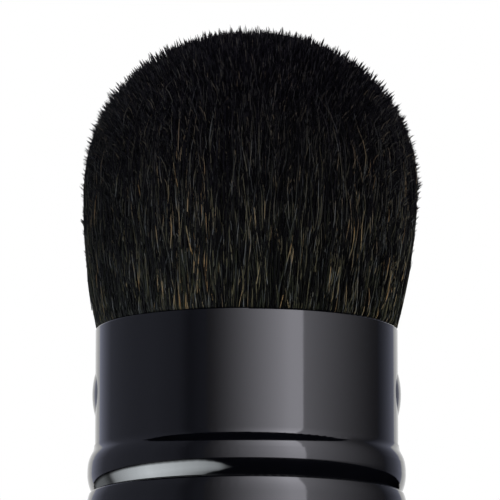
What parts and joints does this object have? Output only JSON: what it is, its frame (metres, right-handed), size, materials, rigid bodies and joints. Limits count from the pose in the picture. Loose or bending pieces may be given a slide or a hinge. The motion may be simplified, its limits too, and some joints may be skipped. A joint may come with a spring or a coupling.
{
  "type": "retractable kabuki makeup brush",
  "caption": "Short cosmetic brush with a dense domed tuft. A sleeve with a beaded neck slides up its core and covers the tuft.",
  "frame": {"origin": "centre of the base's flat underside", "axes": "+Z along the brush from the base to the tuft's tip, +X through one of the two bumps on the neck"},
  "size_m": [0.0334, 0.0334, 0.0828],
  "materials": {
    "lacquer": "gloss",
    "moulded": "matte",
    "steel": "satin",
    "silicone": "matte",
    "raw_aluminium": "satin",
    "root_resin": "gloss",
    "thread": "matte",
    "hair": "satin"
  },
  "bodies": {
    "core": {"base_cap": "lacquer", "base_plug": "moulded", "base_weight": "steel", "core_tube": "moulded", "slide_ring": "silicone", "hair_ferrule": "raw_aluminium", "root_plug": "root_resin", "root_binding": "thread", "hair_bundle": "hair"},
    "sleeve": {"body_shell": "lacquer", "neck_tube": "lacquer", "sleeve_liner": "moulded", "guide_bush": "moulded"}
  },
  "joints": [
    {"name": "sleeve_slide", "type": "slide", "parent": "core", "child": "sleeve", "axis": [0, 0, 1], "range_m": [0, 0.031], "deforming": ["hair_bundle"]}
  ]
}
